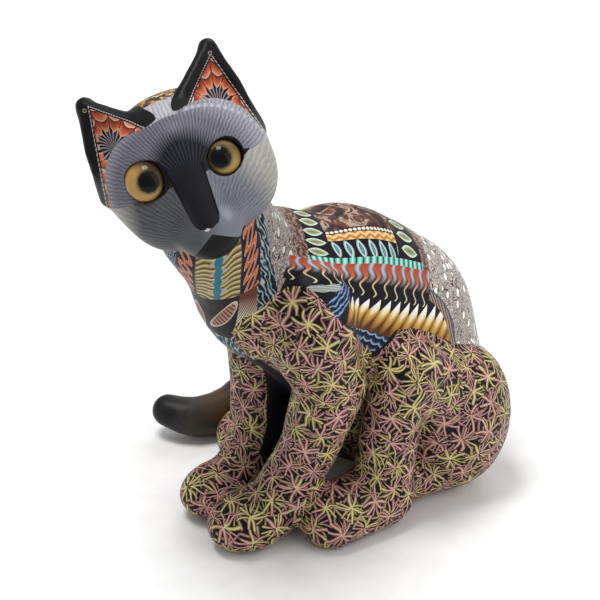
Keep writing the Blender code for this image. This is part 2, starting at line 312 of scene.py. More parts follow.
def store(mesh, name, values):
    """Keeps one number for each vertex, for the materials to read."""
    kept = mesh.attributes.new(name, "FLOAT", "POINT")
    kept.data.foreach_set("value", np.asarray(values, np.float32))


paths = limb_paths()
names = list(paths)
spots = positions(skin)

# The nape is filled out a little, so that the back runs up to the head without a dip.
NAPE = np.array((-3, -1, 97))
NAPE_REACH = 13
NAPE_FILL = 2.0
from_nape = np.linalg.norm(spots - NAPE, axis=1)
filled = NAPE_FILL * np.clip(1 - (from_nape / NAPE_REACH) ** 2, 0, 1) ** 2
spots += filled[:, None] * normals_of(skin)
skin.vertices.foreach_set("co", ((spots + MIDDLE) / 1000).astype(np.float32).ravel())
skin.update()
reach = {name: beside_path(spots, *paths[name])[0] for name in names}
legs = [name for name in names if name.endswith(("leg", "shin", "haunch"))]
legs_reach = np.min([reach[name] for name in legs], axis=0)

# The woven slices stop along a line over the shoulders and haunches, as (y, z) from the side.
TRIM_LINE = (
    (-60, 76), (-30, 79), (-25, 83), (-21, 86.8), (-17.9, 88.2), (-13.9, 88.6), (-13, 87.5),
    (-11.5, 85), (-9.4, 80.7), (-6.4, 77), (-1.8, 72.1), (3, 66), (8.4, 60.2), (11, 60.7),
    (13, 62.3), (16.2, 65.2), (23.4, 63.4), (31.6, 58.5), (37.1, 53.8), (42.7, 50.7),
    (47.7, 48.6), (56, 42), (62, 33), (66, 26), (72, 10),
)
below_trim = np.interp(spots[:, 1], *zip(*TRIM_LINE)) - spots[:, 2]
# The weave reaches only a little way onto the torso between the fore and hind legs, so that the
# painted shade of the belly shows there.
weave_reach_beside_shade = np.interp(spots[:, 1], (-5, 2, 15, 22), (10, 3, 3, 10))
on_leg = reach["torso"] - legs_reach + weave_reach_beside_shade

# The chest is bare of weave in a wedge between the forelegs, which widens upwards.
chest = np.abs(spots[:, 0]) - 7 - 0.64 * np.maximum(spots[:, 2] - 72, 0)
chest = np.where((spots[:, 1] < -14) & (spots[:, 2] > 54), chest, 10)

# The faces that the forelegs turn to each other are painted dark above the paws, as shade between
# the legs: the weave stops there, so the painted belly shade shows.
left_face = np.interp(spots[:, 2], (11, 15, 18, 30, 50), (-5, 4.5, 6.4, 8.3, 9.6))
right_face = np.interp(spots[:, 2], (11, 15, 18, 30, 40), (-5, 2, 3.8, 5.2, 6.2))
out_of_leg_shade = np.where(spots[:, 0] > 0, spots[:, 0] - left_face, -spots[:, 0] - right_face)
out_of_leg_shade = np.where((spots[:, 1] < 12) & (spots[:, 2] < 62), out_of_leg_shade, 10)
store(skin, "weave_edge", np.min([below_trim, on_leg, chest, out_of_leg_shade], axis=0))
SOLE_HEIGHT = 0.8
# Below the trim line, all but the front of the chest takes a painted near-black shade, for the deep
# shadow under the torso and between the legs.
shaded_underside = np.maximum(spots[:, 1] + 22, 54 - spots[:, 2])
store(skin, "belly_shade_edge", np.minimum(below_trim, shaded_underside))
store(skin, "tail_edge", np.minimum(legs_reach, reach["torso"]) - reach["tail"])
store(skin, "sole_edge", SOLE_HEIGHT - spots[:, 2])
store(skin, "tail_run", beside_path(spots, *paths["tail"])[2])

# The head ends at a crease all round, at one angle from the line of the neck.
CREASE_ANGLE = math.radians(48)
LOWEST_JAW = 95
EAR_TIP = Vector((18.7, 4.0, 26.9))
EAR_INNER = Vector((3.8, -6.8, 16.0))
EAR_OUTER = Vector((22.9, 0.0, 1.5))
LOWEST_EAR = -4
down_neck = np.array(NECK_MIDDLE) - np.array(HEAD_CENTRE)
down_neck /= np.linalg.norm(down_neck)
from_head = spots - np.array(HEAD_CENTRE)
along_neck = from_head @ down_neck
across_neck = np.linalg.norm(from_head - along_neck[:, None] * down_neck, axis=1)
head_edge = across_neck * math.cos(CREASE_ANGLE) - along_neck * math.sin(CREASE_ANGLE)
head_edge = np.where(spots[:, 2] > LOWEST_JAW, head_edge, -20)
store(skin, "head_edge", head_edge)
in_head = from_head @ np.array(HEAD_TURN)
ear_gap = np.full(len(spots), 30.0)
for number in np.flatnonzero(in_head[:, 2] > LOWEST_EAR):
    spot = Vector((abs(in_head[number, 0]), in_head[number, 1], in_head[number, 2]))
    nearest = closest_point_on_tri(spot, EAR_TIP, EAR_INNER, EAR_OUTER)
    ear_gap[number] = (nearest - spot).length
store(skin, "ear_gap", ear_gap)
facing = normals_of(skin) @ np.array(HEAD_TURN)
ear_back = (EAR_TIP - EAR_INNER).cross(EAR_OUTER - EAR_INNER).normalized()
mirrored = np.c_[facing[:, 0] * np.sign(in_head[:, 0]), facing[:, 1:]]
store(skin, "ear_front", -mirrored @ np.array(ear_back))


# The torso gives way to the legs where they meet, and each limb has its own part of the net.
TORSO_SETBACK = 4
NET_STEP = 400
FEWEST_FACES = 20


def wrap_weave(thing):
    """Opens each limb along its hidden side and lays it flat, in millimetres, for the weave."""
    mesh = thing.data
    corners = corners_of(mesh)
    middles = spots[corners].mean(axis=1)
    found = [beside_path(middles, *paths[name]) for name in names]
    distances = np.array([distance for distance, angle, run in found])
    distances[names.index("torso")] += TORSO_SETBACK
    label = distances.argmin(axis=0)
    angles = np.array([angle for distance, angle, run in found])[label, np.arange(len(label))]
    woven = (below_trim[corners].max(axis=1) > -2) & (middles[:, 2] > 0.6)
    woven &= (label != names.index("head")) & (label != names.index("tail"))
    cutter = bmesh.new()
    cutter.from_mesh(mesh)
    for edge in cutter.edges:
        sides = [face.index for face in edge.link_faces]
        if len(sides) == 2:
            first, second = sides
            edge.seam = bool(
                label[first] != label[second]
                or woven[first] != woven[second]
                or abs(angles[first] - angles[second]) > math.pi
            )
    for face in cutter.faces:
        face.select_set(bool(woven[face.index]))
    cutter.to_mesh(mesh)
    cutter.free()
    mesh.uv_layers.new(name="weave_lie")
    for other in bpy.context.selected_objects:
        other.select_set(False)
    thing.select_set(True)
    bpy.context.view_layer.objects.active = thing
    bpy.ops.object.mode_set(mode="EDIT")
    bpy.ops.uv.unwrap(method="MINIMUM_STRETCH", margin=0.001)
    bpy.ops.uv.average_islands_scale()
    bpy.ops.object.mode_set(mode="OBJECT")
    layer = mesh.uv_layers["weave_lie"].data
    flat = np.empty(len(layer) * 2, np.float32)
    layer.foreach_get("uv", flat)
    flat = flat.reshape(-1, 4, 2).astype(float)
    areas = np.empty(len(mesh.polygons))
    mesh.polygons.foreach_get("area", areas)
    first = flat[:, 2] - flat[:, 0]
    second = flat[:, 3] - flat[:, 1]
    flat_areas = 0.5 * np.abs(first[:, 0] * second[:, 1] - first[:, 1] * second[:, 0])
    grow = 1000 * math.sqrt(areas[woven].sum() / flat_areas[woven].sum())
    for number in range(len(names)):
        island = woven & (label == number)
        if island.sum() < FEWEST_FACES:
            continue
        lie = flat[island] * grow
        rise = np.linalg.lstsq(
            np.c_[lie.reshape(-1, 2), np.ones(lie.shape[0] * 4)],
            spots[corners[island].ravel(), 2],
            rcond=None,
        )[0][:2]
        up = rise / np.linalg.norm(rise)
        turned = np.array(((up[1], -up[0]), (up[0], up[1])))
        flat[island] = lie @ turned.T + NET_STEP * number
    layer.foreach_set("uv", flat.astype(np.float32).ravel())


wrap_weave(cat)


# The patterned slices: thin slices cut from built-up canes of coloured clay and pressed on.
# Baked and lightly polished clay: coloured all through, with a soft sheen and a faint uneven skin.

CLAY_ROUGHNESS = 0.42
CLAY_SHEEN = 0.13
STAR_GAP = 8.2
STROKE_HALF_WIDTH = 0.58
SADDLE_START = (0, -8, 75)
BACK_SLOPE = math.radians(-37.27)
BACK_RADIUS = 27.0
THROAT = (0.3, -22, 94)
THROAT_SLOPE = math.radians(36.44)
NECK_RADIUS = 19.0
BIB_MIDDLE = 7.4
BIB_HALF_WIDTH = 9.0
CHAIN_HALF_WIDTH = 17.2
BLUE_HALF_WIDTH = 22.6


def clay_skin(add, shader):
    """The faint dents of hand-pressed clay, about 2 mm apart and 0.05 mm deep."""
    place = add("TexCoord", out="Object")
    dents = add("TexNoise", place, Scale=480.0, Detail=3.0)
    bump = add("Bump", Height=dents, Distance=0.00012, Strength=0.5)
    shader.id_data.links.new(bump, shader.inputs["Normal"])


def chart(add, centre, turn):
    """Object coordinates in millimetres from a centre on the figure, turned to lie along a form."""
    shifted = [(part + move) / 1000 for part, move in zip(centre, MIDDLE)]
    place = add("TexCoord", out="Object")
    return add(
        "Mapping", place, vector_type="TEXTURE",
        Location=shifted, Rotation=turn, Scale=(0.001,) * 3,
    )


def parts_of(add, vector):
    """The three numbers of a vector."""
    split = add("SeparateXYZ", vector, out="X").node
    return split.outputs["X"], split.outputs["Y"], split.outputs["Z"]


def star_strokes(add, lie, gap, width):
    """How far each spot lies from the strokes of stars on a triangular net.

    It also gives a chance for each arm of a star, which picks its colour.
    """
    half = (gap / 2, gap * math.sqrt(3) / 2, 1.0)
    first = add("VectorMath WRAP", lie, half, [-part for part in half])
    moved = add("VectorMath ADD", lie, (half[0], half[1], 0))
    second = add("VectorMath WRAP", moved, half, [-part for part in half])
    to_first = add("VectorMath LENGTH", first, out="Value")
    to_second = add("VectorMath LENGTH", second, out="Value")
    nearer = add("Math LESS_THAN", to_second, to_first)
    local = add("Mix VECTOR", nearer, first, second)
    star = add("VectorMath DIVIDE", add("VectorMath SUBTRACT", lie, local), half)
    star = add("VectorMath FLOOR", add("VectorMath ADD", star, (0.5, 0.5, 0)))
    chance = add("TexWhiteNoise", star, out="Value")
    reach = add("VectorMath LENGTH", local, out="Value")
    x, y, _ = parts_of(add, local)
    turn = add("Math MULTIPLY_ADD", chance, 0.5, add("Math ARCTAN2", y, x))
    sector = add("Math ROUND", add("Math MULTIPLY", turn, 4 / math.pi))
    arm = add("VectorMath ADD", star, add("CombineXYZ", 0.0, 0.0, sector))
    arm_chance = add("TexWhiteNoise", arm, out="Value")
    turn = add("Math WRAP", turn, math.pi / 8, -math.pi / 8)
    along = add("Math MULTIPLY", reach, add("Math COSINE", turn))
    across = add("Math MULTIPLY", reach, add("Math SINE", turn))
    squared = add("Math MULTIPLY", along, along)
    bow = add("Math MULTIPLY", squared, add("Math MULTIPLY_ADD", arm_chance, 0.16, -0.08))
    swirl = add("Math ABSOLUTE", add("Math ADD", bow, across))

    # An arm is one thick stroke, or two thin ones side by side.
    single = add("Math DIVIDE", swirl, width)
    spread = add("Math MULTIPLY_ADD", squared, 0.03, 0.42)
    double = add("Math ABSOLUTE", add("Math SUBTRACT", swirl, spread))
    double = add("Math DIVIDE", double, width * 0.6)
    paired = add("Math FRACT", add("Math MULTIPLY", arm_chance, 7.0))
    paired = add("Math GREATER_THAN", paired, 0.65)
    stroke = add("Mix FLOAT", paired, single, double)
    beyond = add("Math GREATER_THAN", along, gap * 0.66)
    return add("Math ADD", stroke, beyond), add("Math MULTIPLY_ADD", arm_chance, 0.3, chance)


def star_weave(add):
    """Two nets of stars, one above the other, in strokes of yellow, rose, mauve and tan."""
    lie = add("UVMap", uv_map="weave_lie")
    wander = add("TexNoise", lie, Scale=0.13, Detail=1.0, out="Color")
    bent = add("VectorMath MULTIPLY_ADD", wander, (4.2, 4.2, 0), lie)
    upper, chance = star_strokes(add, bent, STAR_GAP, STROKE_HALF_WIDTH)
    under = add("Mapping", bent, Location=(3.1, 1.7, 0), Rotation=(0, 0, 0.35))
    under, under_chance = star_strokes(add, under, STAR_GAP * 0.93, STROKE_HALF_WIDTH * 0.9)
    change = add("TexNoise", lie, Scale=0.3, Detail=0.0)
    upper_change = add("Math MULTIPLY_ADD", chance, 0.5, change)
    under_change = add("Math MULTIPLY_ADD", under_chance, 0.5, change)

    # Each stroke is pale along its middle and dark at its edges.
    upper_steps = (0.0, 0.35, 0.65, 0.88, 1.0)
    under_steps = (0.0, 0.3, 0.6, 0.85, 1.0)
    yellow, rose, mauve, tan = (
        add("ValToRGB", stroke, stops=tuple(zip(steps, hues)))
        for stroke, steps, hues in (
            (upper, upper_steps, ("DAD09A", "B8AA6A", "7C6C42", "2E2420", "18121A")),
            (upper, upper_steps, ("D8B2A6", "B4867A", "7E504A", "2E2022", "18121A")),
            (under, under_steps, ("B48C8A", "986E6A", "6A4848", "2A1E22", "150F15")),
            (under, under_steps, ("BCA880", "9A8858", "6A5A38", "2A221E", "150F15")),
        )
    )
    strokes = add("Mix RGBA", add("MapRange", upper_change, 0.8, 0.9), rose, yellow)
    below = add("Mix RGBA", add("MapRange", under_change, 0.84, 0.94), mauve, tan)
    return add("Mix RGBA", add("Math LESS_THAN", upper, 1.0), below, strokes)


def filigree(add, place):
    """Fine curls of white, grey and brown clay, about 2 mm across, with pale seeds among them."""
    slim = add("VectorMath MULTIPLY", place, (0.7, 1.0, 0.5))
    curls = add("TexNoise", slim, Scale=0.36, Detail=2.0, Roughness=0.6, Distortion=3.0)
    colour = add(
        "ValToRGB", curls,
        stops=(
            (0.3, "1C1614"), (0.38, "5C4A3E"), (0.43, "A89C90"), (0.47, "ECE8E2"),
            (0.51, "362A24"), (0.56, "86745F"), (0.61, "E0DAD2"), (0.68, "2E2622"),
        ),
    )
    seeds = add("TexVoronoi", slim, Scale=0.36, out="Distance")
    ringed = add("Mix RGBA", add("Math LESS_THAN", seeds, 0.3), "3A322E", "F6F4F0")
    return add("Mix RGBA", add("Math LESS_THAN", seeds, 0.35), colour, ringed)


def marbled_field(add, colour, place, s, t, on_panel):
    """A black panel, marbled along the spine, with reddish brown curls beside it."""
    beside = add("Math COMPARE", s, 11.0, 27.0)
    beside = add("Math MULTIPLY", beside, add("Math LESS_THAN", t, 22.0))
    speckle = add("TexNoise", place, Scale=0.9, Detail=2.0)
    reddish = add(
        "ValToRGB", speckle,
        stops=((0.35, "3E2620"), (0.5, "6E4C40"), (0.58, "A89A90"), (0.66, "322826")),
    )
    colour = add("Mix RGBA", beside, colour, reddish)
    colour = add("Mix RGBA", on_panel, colour, "16141B")
    marbling = add("TexNoise", place, Scale=0.16, Detail=3.0, Distortion=1.4)
    marbled = add(
        "ValToRGB", marbling,
        stops=(
            (0.36, "100C0E"), (0.46, "40221F"), (0.54, "683A32"), (0.6, "B8A08C"), (0.66, "241818"),
        ),
    )
    on_field = add("Math COMPARE", s, 10.0, 12.0)
    on_field = add("Math MULTIPLY", on_field, add("Math LESS_THAN", t, 8.0))
    return add("Mix RGBA", on_field, colour, marbled)


def side_rows(add, colour, s, t):
    """A cord of cream dots, a golden strip and slanting leaves of teal, along each side."""
    on_rows = add("Math COMPARE", s, 9.0, 11.0)
    dots = add("CombineXYZ", add("Math WRAP", s, 0.65, -0.65), add("Math SUBTRACT", t, 8.9))
    dots = add("Math LESS_THAN", add("VectorMath LENGTH", dots, out="Value"), 0.55)
    colour = add("Mix RGBA", add("Math MULTIPLY", on_rows, dots), colour, "D9D3C4")
    zigzag = add("Math MULTIPLY_ADD", add("Math PINGPONG", s, 1.5), 0.8, t)
    golden = add(
        "ValToRGB", add("Math FRACT", add("Math MULTIPLY", zigzag, 0.5)),
        stops=((0.0, "8A5A30"), (0.3, "D8A058"), (0.6, "E8CC94"), (0.9, "B07A40")),
    )
    strip = add("Math MULTIPLY", on_rows, add("Math COMPARE", t, 11.0, 1.3))
    colour = add("Mix RGBA", strip, colour, golden)
    leaf = add("Math MULTIPLY_ADD", add("Math SUBTRACT", t, 15.5), -0.3, s)
    leaf = add("Math ABSOLUTE", add("Math WRAP", leaf, 1.75, -1.75))
    leaf_end = add("Math ABSOLUTE", add("Math SUBTRACT", t, 15.5))
    leaf = add("Math MULTIPLY_ADD", add("Math MULTIPLY", leaf_end, leaf_end), 0.11, leaf)
    teal = add(
        "ValToRGB", leaf,
        stops=((0.0, "5FA6A8"), (0.45, "1E4A52"), (0.62, "D8E2E0"), (0.95, "8FA8AE")),
    )
    on_leaf = add("Math MULTIPLY", on_rows, add("Math LESS_THAN", leaf, 1.15))
    on_leaf = add("Math MULTIPLY", on_leaf, add("Math LESS_THAN", leaf_end, 3.0))
    return add("Mix RGBA", on_leaf, colour, teal)


def lozenge_columns(add, colour, s, t, on_panel):
    """Columns of pale green lozenges with brown hearts, at both ends of the panel."""
    column = add("Math SUBTRACT", add("Math ABSOLUTE", add("Math SUBTRACT", s, 9.6)), 16.0)
    lozenge = add("Math DIVIDE", column, 3.7)
    lozenge = add("Math MULTIPLY", lozenge, lozenge)
    beat = add("Math ABSOLUTE", add("Math WRAP", t, 2.2, -2.2))
    lozenge = add("Math MULTIPLY_ADD", beat, 0.6, lozenge)
    green = add(
        "ValToRGB", lozenge,
        stops=(
            (0.0, "7A4A34"), (0.16, "AE7C62"), (0.24, "70895E"), (0.6, "9EB28E"), (0.9, "D8E0D2"),
        ),
    )
    on_column = add("Math MULTIPLY", on_panel, add("Math LESS_THAN", lozenge, 0.98))
    return add("Mix RGBA", on_column, colour, green)


def beads_and_waves(add, colour, s, below_row):
    """Turquoise beads along the panel, and red and grey waves that hang into black clay."""
    bead = add("Math ABSOLUTE", add("Math WRAP", s, 1.05, -1.05))
    beads = add(
        "ValToRGB", bead,
        stops=((0.0, "B8E0D0"), (0.55, "6FB8A8"), (0.85, "2E7A74"), (1.0, "123A3C")),
    )
    on_beads = add("Math COMPARE", s, 10.5, 20.8)
    on_beads = add("Math MULTIPLY", on_beads, add("Math COMPARE", below_row, 0.3, 1.0))
    hang = add("Math DIVIDE", add("Math SUBTRACT", below_row, 1.3), 9.5)
    sway = add("Math SINE", add("Math MULTIPLY", hang, 12.0))
    sway = add("Math MULTIPLY", sway, add("Math MULTIPLY_ADD", hang, 0.7, 0.35))
    wave = add("Math ABSOLUTE", add("Math WRAP", add("Math ADD", s, sway), 2.0, -2.0))
    pale = add("MapRange", wave, 0.9, 2.0)
    ground = add("Mix RGBA", pale, "4A4650", "BCB8C0")
    ground = add("Mix RGBA", add("MapRange", hang, 0.3, 0.62), ground, "121018")
    thread = add("Math MULTIPLY_ADD", hang, -1.35, 1.15)
    thread = add("Math MAXIMUM", thread, 0.26)
    red = add(
        "ValToRGB", hang,
        stops=((0.0, "A83E24"), (0.4, "C45E3A"), (0.55, "CBA078"), (0.8, "CCC09A")),
    )
    waves = add("Mix RGBA", add("Math LESS_THAN", wave, thread), ground, red)
    on_waves = add("Math COMPARE", s, 8.0, 26.0)
    on_waves = add("Math MULTIPLY", on_waves, add("Math COMPARE", below_row, 5.9, 5.0))
    on_black = add("Math COMPARE", s, 14.0, 31.0)
    on_black = add("Math MULTIPLY", on_black, add("Math GREATER_THAN", below_row, 5.9))
    colour = add("Mix RGBA", on_black, colour, "141219")
    colour = add("Mix RGBA", on_waves, colour, waves)
    return add("Mix RGBA", on_beads, colour, beads)


def flank_petals(add, colour, s, fill):
    """Golden petals that point up from the flank, white at their tips, brown at their roots."""
    lean = add("Math MULTIPLY_ADD", fill, 2.6, s)
    petal = add("Math ABSOLUTE", add("Math WRAP", lean, 1.9, -1.9))
    width = add("Math MULTIPLY", add("Math POWER", add("Math MAXIMUM", fill, 0.0), 0.95), 5.0)
    shade = add("Math MULTIPLY_ADD", add("Math MULTIPLY", petal, petal), 0.12, fill)
    gold = add(
        "ValToRGB", shade,
        stops=(
            (0.18, "F4F1EC"), (0.4, "EADFBE"), (0.55, "CDA648"), (0.8, "9E6C30"), (1.0, "553620"),
        ),
    )
    on_petal = add("Math COMPARE", s, 25.7, 25.2)
    on_petal = add("Math MULTIPLY", on_petal, add("Math COMPARE", fill, 0.5, 0.5))
    on_petal = add("Math MULTIPLY", on_petal, add("Math LESS_THAN", petal, width))
    return add("Mix RGBA", on_petal, colour, gold)


def rump_bands(add, colour, place, s, t, fill):
    """A ribbed band that curves round the last of the petals, and blue scales under them."""
    bow = add("CombineXYZ", add("Math SUBTRACT", s, 33.0), add("Math SUBTRACT", t, 43.0))
    bow = add("Math SUBTRACT", add("VectorMath LENGTH", bow, out="Value"), 20.4)
    ribs = add("Math PINGPONG", add("Math SUBTRACT", s, t), 0.7)
    ribbed = add("ValToRGB", ribs, stops=((0.15, "4A3E3C"), (0.5, "A08478"), (0.7, "B8A49A")))
    ribbed = add("Mix RGBA", add("Math GREATER_THAN", bow, 0.9), ribbed, "3E5A70")
    behind = add("Math GREATER_THAN", s, 34.5)
    on_band = add("Math MULTIPLY", behind, add("Math GREATER_THAN", bow, -1.4))
    on_band = add("Math MULTIPLY", on_band, add("Math GREATER_THAN", t, 21.0))
    colour = add("Mix RGBA", on_band, colour, ribbed)
    past = add("Math MULTIPLY", behind, add("Math GREATER_THAN", bow, 1.5))
    colour = add("Mix RGBA", past, colour, filigree(add, place))
    scale_row = add("Math PINGPONG", s, 1.7)
    scale = add("Math MULTIPLY", add("Math MULTIPLY", scale_row, scale_row), 0.12)
    scale = add("Math FRACT", add("Math MULTIPLY_ADD", t, 0.42, scale))
    scales = add(
        "ValToRGB", scale,
        stops=((0.1, "101624"), (0.45, "2C4666"), (0.7, "A9BCCB"), (0.8, "18243A")),
    )
    under = add("Math GREATER_THAN", fill, 1.0)
    under = add("Math MULTIPLY", under, add("Math COMPARE", s, 15.0, 16.0))
    return add("Mix RGBA", under, colour, scales)


def corner_feathers(add, colour, place, s, t):
    """Blue feathers, in the corner before the petals."""
    ruffle = add("TexNoise", place, Scale=0.5, Detail=1.0)
    feather = add("Math MULTIPLY_ADD", t, 0.75, add("Math MULTIPLY", s, 0.9))
    feather = add("Math PINGPONG", add("Math MULTIPLY_ADD", ruffle, 2.0, feather), 0.8)
    feathers = add(
        "ValToRGB", feather,
        stops=((0.1, "10141F"), (0.4, "24406A"), (0.65, "5C7CA6"), (0.8, "B6C6D6")),
    )
    slope = add("Math MULTIPLY_ADD", t, 0.55, s)
    on_corner = add("Math COMPARE", slope, 15.6, 3.2)
    on_corner = add("Math MULTIPLY", on_corner, add("Math GREATER_THAN", t, 28.5))
    return add("Mix RGBA", on_corner, colour, feathers)


def striped_leaves(add, colour, s, t):
    """Two pale striped leaves, in the black before the feathers."""
    for centre in ((-9.8, 33.0, 0), (-6.2, 31.6, 0)):
        leaf = add("CombineXYZ", s, t)
        leaf = add(
            "Mapping", leaf, vector_type="TEXTURE",
            Location=centre, Rotation=(0, 0, -0.35), Scale=(3.2, 1.1, 1),
        )
        stripe = add("Math PINGPONG", add("Math MULTIPLY", parts_of(add, leaf)[1], 2.4), 0.5)
        striped = add("ValToRGB", stripe, stops=((0.1, "4E5A5A"), (0.3, "A9B4AC"), (0.5, "D2D6CC")))
        on_leaf = add("Math LESS_THAN", add("VectorMath LENGTH", leaf, out="Value"), 1.0)
        colour = add("Mix RGBA", on_leaf, colour, striped)
    return colour


def saddle(add):
    """The dark panel over the back, with rows of beads, waves and petals alike on both sides.

    In millimetres, s runs along the back and t down each side from the spine.
    """
    place = chart(add, SADDLE_START, (BACK_SLOPE, 0, 0))
    x, s, h = parts_of(add, place)
    t = add("Math ARCTAN2", add("Math ABSOLUTE", x), h)
    t = add("Math MULTIPLY", t, BACK_RADIUS)
    colour = filigree(add, place)
    colour = add("Mix RGBA", add("MapRange", s, 4.0, -6.0, 0.0, 0.3), colour, "2A2422")

    # The panel reaches down each side as far as the row of beads.
    row = add("Math MULTIPLY_ADD", s, -0.12, 19.5)
    on_panel = add("Math COMPARE", s, 10.5, 20.5)
    on_panel = add("Math MULTIPLY", on_panel, add("Math LESS_THAN", t, row))
    colour = marbled_field(add, colour, place, s, t, on_panel)
    colour = side_rows(add, colour, s, t)
    colour = lozenge_columns(add, colour, s, t, on_panel)
    colour = beads_and_waves(add, colour, s, add("Math SUBTRACT", t, row))

    # The fill is 0 along the tips of the petals and 1 along their roots.
    tips = add("Math MULTIPLY_ADD", s, -0.19, 31.8)
    roots = add("Math MULTIPLY_ADD", add("Math MULTIPLY", s, s), -0.001, 40.0)
    roots = add("Math MULTIPLY_ADD", s, -0.05, roots)
    fill = add("Math DIVIDE", add("Math SUBTRACT", t, tips), add("Math SUBTRACT", roots, tips))
    colour = flank_petals(add, colour, s, fill)
    colour = rump_bands(add, colour, place, s, t, fill)
    colour = corner_feathers(add, colour, place, s, t)
    return striped_leaves(add, colour, s, t)


def blue_strokes(add, place, v, w):
    """Slanting strokes of blue and teal clay."""
    slim = add("VectorMath MULTIPLY", place, (1.0, 1.0, 0.4))
    frayed = add("TexNoise", slim, Scale=0.5, Detail=2.0)
    stroke = add("Math MULTIPLY_ADD", frayed, 5.0, add("Math MULTIPLY_ADD", v, 0.35, w))
    stroke = add("Math PINGPONG", stroke, 0.8)
    return add(
        "ValToRGB", stroke,
        stops=(
            (0.2, "0E1018"), (0.4, "22324E"), (0.55, "34707A"), (0.68, "8FA6A4"), (0.78, "B8A48A"),
        ),
    )


def chain_links(add, v, w):
    """Links of an orange chain on dark clay."""
    link = add("Math WRAP", add("Math MULTIPLY_ADD", w, -0.55, v), 2.4, -2.4)
    link = add("CombineXYZ", add("Math SUBTRACT", w, 13.0), link)
    link = add(
        "Mapping", link, vector_type="TEXTURE",
        Rotation=(0, 0, math.radians(40)), Scale=(1.9, 0.95, 1),
    )
    link = add("Math SUBTRACT", add("VectorMath LENGTH", link, out="Value"), 1.45)
    link = add("Math ABSOLUTE", link)
    return add(
        "ValToRGB", link,
        stops=((0.0, "D07A4A"), (0.36, "A8482A"), (0.46, "D0C2B8"), (0.58, "241A22")),
    )


def golden_stripes(add, v, w):
    """Wavy stripes of gold and cream, parted by a strip of turquoise."""
    ripple = add("Math SINE", add("Math MULTIPLY", w, 0.85))
    stripe = add("Math MULTIPLY_ADD", ripple, 0.45, add("Math MULTIPLY_ADD", w, -0.12, v))
    stripe = add("Math FRACT", add("Math DIVIDE", stripe, 1.9))
    gold = add(
        "ValToRGB", stripe,
        stops=(
            (0.0, "2C2018"), (0.16, "6E5A30"), (0.4, "A08A54"), (0.66, "C9C29A"), (0.82, "8C7646"),
            (1.0, "36281C"),
        ),
    )
    lozenge = add("Math ABSOLUTE", add("Math WRAP", v, 2.1, -2.1))
    lozenge = add("Math MULTIPLY_ADD", lozenge, 2.4, w)
    gold = add("Mix RGBA", add("Math LESS_THAN", lozenge, 4.3), gold, "A39C88")
    strip_edge = add("MapRange", lozenge, 1.0, 5.0, 1.9, 1.1)
    gold = add("Mix RGBA", add("Math LESS_THAN", w, strip_edge), gold, "2A6E80")
    return add("Mix RGBA", add("Math GREATER_THAN", w, 8.6), gold, "28464C")


def below_bib(add, colour, u, v, w, blue):
    """Dark clay, with fine diagonal ribs to one side and two ribbed leaves."""
    below = add("Math COMPARE", v, -13.3, 13.7)
    below = add("Math MULTIPLY", below, add("Math LESS_THAN", w, 23.5))
    colour = add("Mix RGBA", below, colour, "211A1E")
    rib = add("Math PINGPONG", add("Math MULTIPLY_ADD", v, -0.77, u), 0.5)
    fade = add("Math MULTIPLY_ADD", u, -0.3, add("Math MULTIPLY", v, -1.0))
    ribs = add("Mix RGBA", add("MapRange", fade, -4.0, 3.0), "6A362C", "CFC5B0")
    ribs = add("Mix RGBA", add("Math LESS_THAN", rib, 0.17), ribs, "3A2A26")
    on_ribs = add("Math MULTIPLY", below, add("Math COMPARE", u, 19.4, 3.4))
    colour = add("Mix RGBA", on_ribs, colour, ribs)
    edge = add("Math MAXIMUM", add("Math GREATER_THAN", u, 22.8), add("Math LESS_THAN", v, -15.0))
    edge = add("Math MULTIPLY", below, edge)
    colour = add("Mix RGBA", edge, colour, blue)
    for centre, tilt in (((11.3, -6.4, 0), 52), ((1.6, -9.6, 0), -55)):
        spot = add(
            "Mapping", add("CombineXYZ", u, v), vector_type="TEXTURE",
            Location=centre, Rotation=(0, 0, math.radians(tilt)), Scale=(6.2, 2.5, 1),
        )
        leaf = add("VectorMath LENGTH", spot, out="Value")
        veins = add("Math PINGPONG", add("Math MULTIPLY", parts_of(add, spot)[0], 5.5), 0.5)
        brown = add("Mix RGBA", add("Math LESS_THAN", veins, 0.2), "A87868", "4A342E")
        brown = add("Mix RGBA", add("Math GREATER_THAN", leaf, 0.82), brown, "B8B098")
        on_leaf = add("Math MULTIPLY", below, add("Math LESS_THAN", leaf, 1.0))
        colour = add("Mix RGBA", on_leaf, colour, brown)
    return colour


def neck_bands(add, colour):
    """The golden bib, the chain and the slanting strokes down the front and sides of the neck.

    In millimetres, v runs up the throat, u slants round it, and w is the way out from the bib.
    """
    place = chart(add, THROAT, (THROAT_SLOPE, 0, 0))
    x, y, v = parts_of(add, place)
    u = add("Math ARCTAN2", x, add("Math MULTIPLY", y, -1.0))
    u = add("Math MULTIPLY", u, NECK_RADIUS)
    u = add("Math MULTIPLY_ADD", v, -0.7, u)
    w = add("Math ABSOLUTE", add("Math SUBTRACT", u, BIB_MIDDLE))
    on_neck = add("Math GREATER_THAN", v, 0.4)
    blue = blue_strokes(add, place, v, w)
    for half_width, slices in (
        (BLUE_HALF_WIDTH, blue),
        (CHAIN_HALF_WIDTH, chain_links(add, v, w)),
        (BIB_HALF_WIDTH, golden_stripes(add, v, w)),
    ):
        on_band = add("Math MULTIPLY", on_neck, add("Math LESS_THAN", w, half_width))
        colour = add("Mix RGBA", on_band, colour, slices)
    return below_bib(add, colour, u, v, w, blue)


